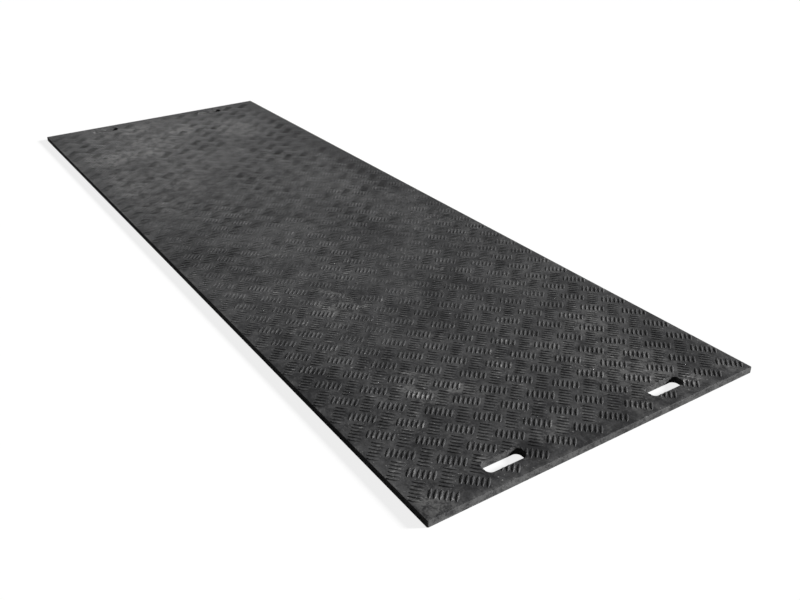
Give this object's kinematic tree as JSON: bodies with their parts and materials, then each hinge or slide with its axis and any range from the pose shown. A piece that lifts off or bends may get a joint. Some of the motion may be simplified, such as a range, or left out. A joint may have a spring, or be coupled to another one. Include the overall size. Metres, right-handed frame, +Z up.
{
  "type": "ground protection mat",
  "caption": "Flat rectangular ground protection mat of thick black polyethylene, with a raised tread of slanting bars and slots through its ends for hands and connectors.",
  "frame": {"origin": "middle of the underside, which lies on the ground", "axes": "+X along the mat's length, +Y across its width, +Z up through its thickness, out of the tread face"},
  "size_m": [3, 1, 0.018],
  "materials": {
    "black_polyethylene": "satin"
  },
  "bodies": {
    "root": {"mat_plate": "black_polyethylene"}
  },
  "joints": []
}
